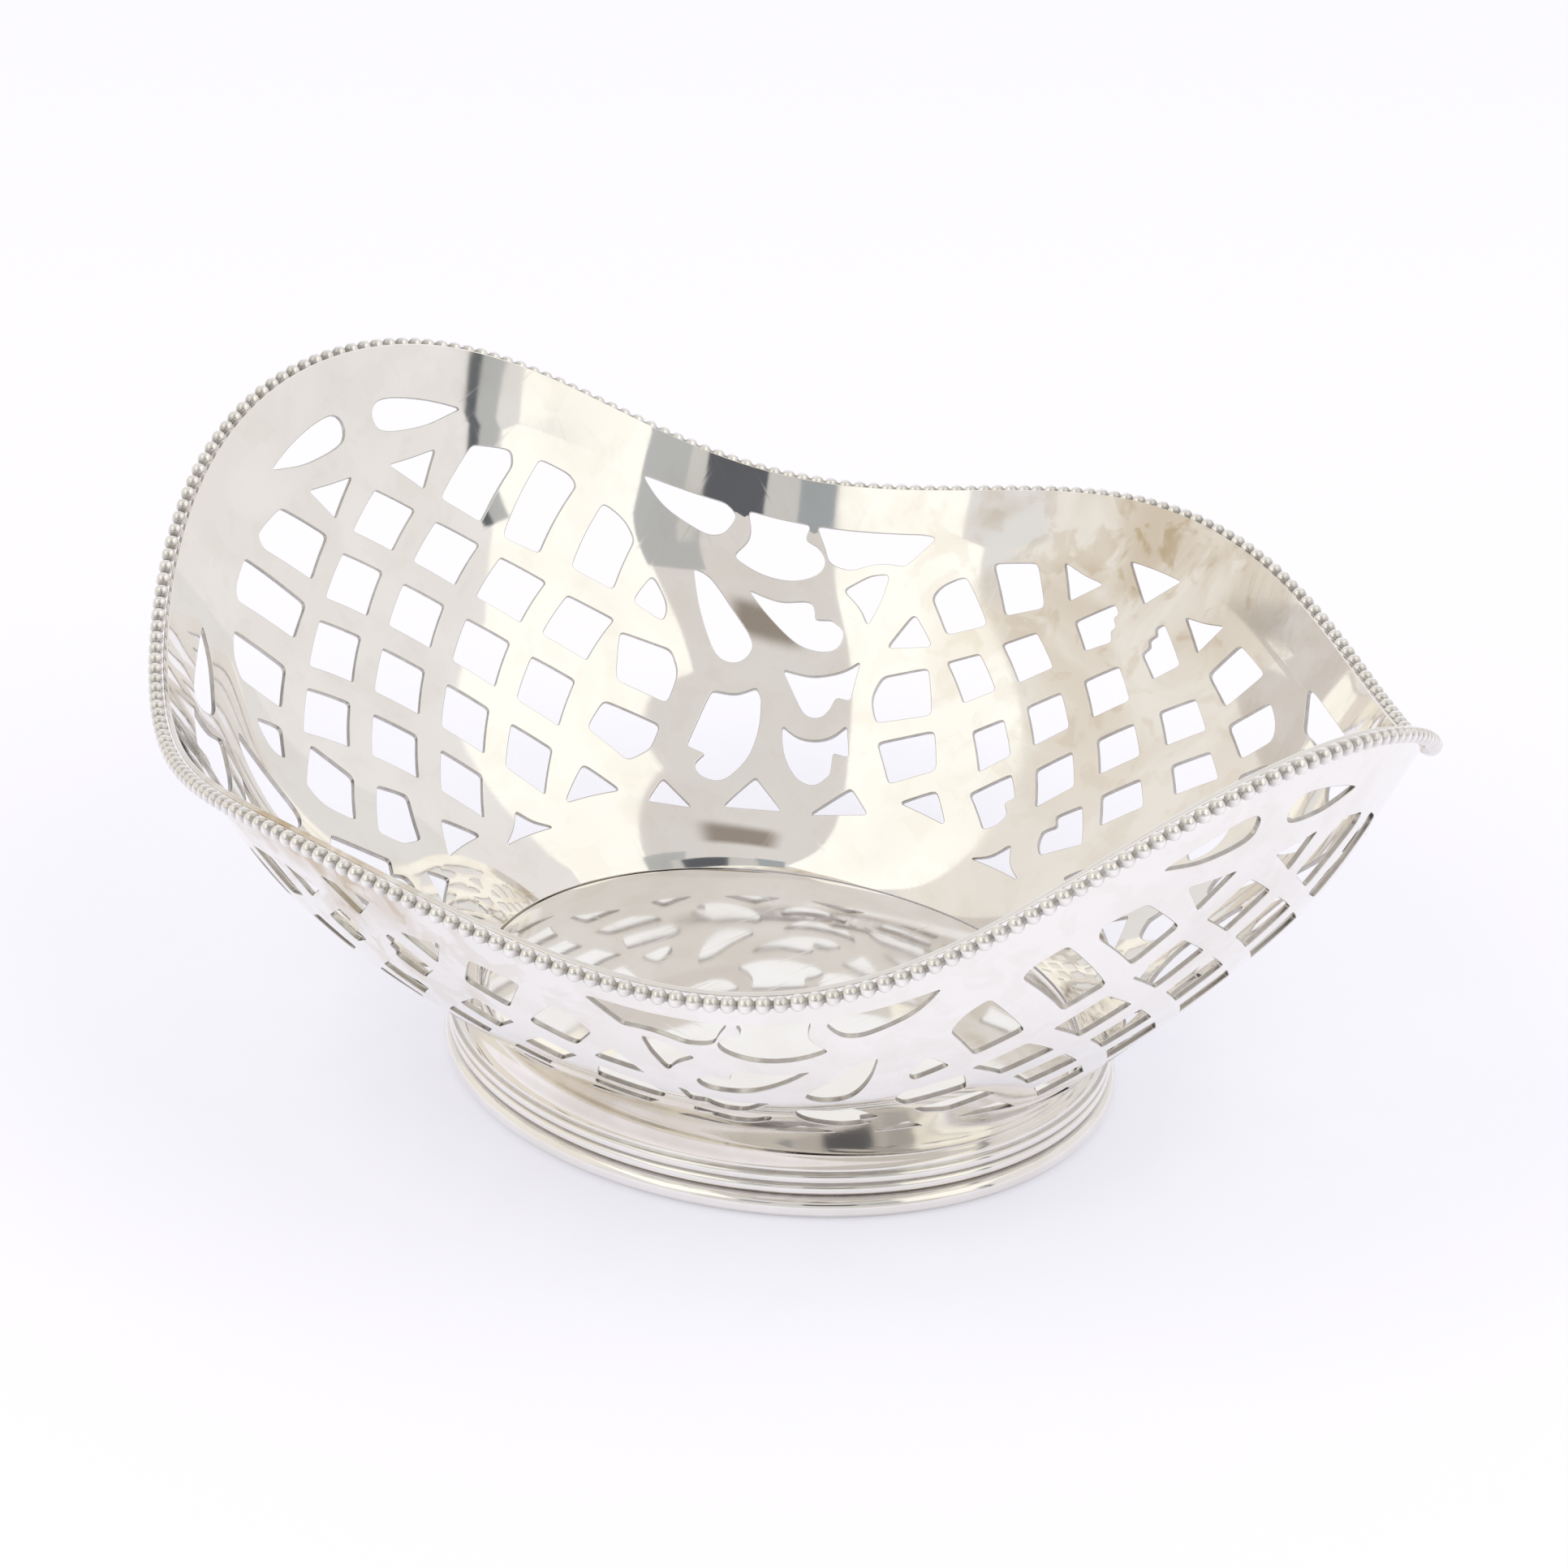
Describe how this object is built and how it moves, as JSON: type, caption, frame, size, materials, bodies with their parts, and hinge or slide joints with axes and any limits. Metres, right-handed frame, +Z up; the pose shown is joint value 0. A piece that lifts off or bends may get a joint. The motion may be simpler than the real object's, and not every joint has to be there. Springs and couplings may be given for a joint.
{
  "type": "bonbon basket",
  "caption": "Oval footed silver basket with a wavy beaded rim, lattice panels and scrolling plants pierced through its flared wall.",
  "frame": {"origin": "centre of the foot on the surface that the basket stands on", "axes": "+X along the long way of the oval, towards one high end; +Y across, towards one side; +Z up out of the bowl"},
  "size_m": [0.1492, 0.1266, 0.0607],
  "materials": {
    "bowl_silver": "polished silver, slightly warm, with faint tarnish",
    "bead_silver": "polished silver with darker recesses between the beads",
    "floor_silver": "mirror-polished silver with fine wear scratches",
    "foot_silver": "polished silver with dark lines in the reeding"
  },
  "bodies": {
    "root": {"pierced_bowl": "bowl_silver", "bead_wire": "bead_silver", "floor_plate": "floor_silver", "reeded_collar": "foot_silver", "base_wire": "foot_silver"}
  },
  "joints": []
}
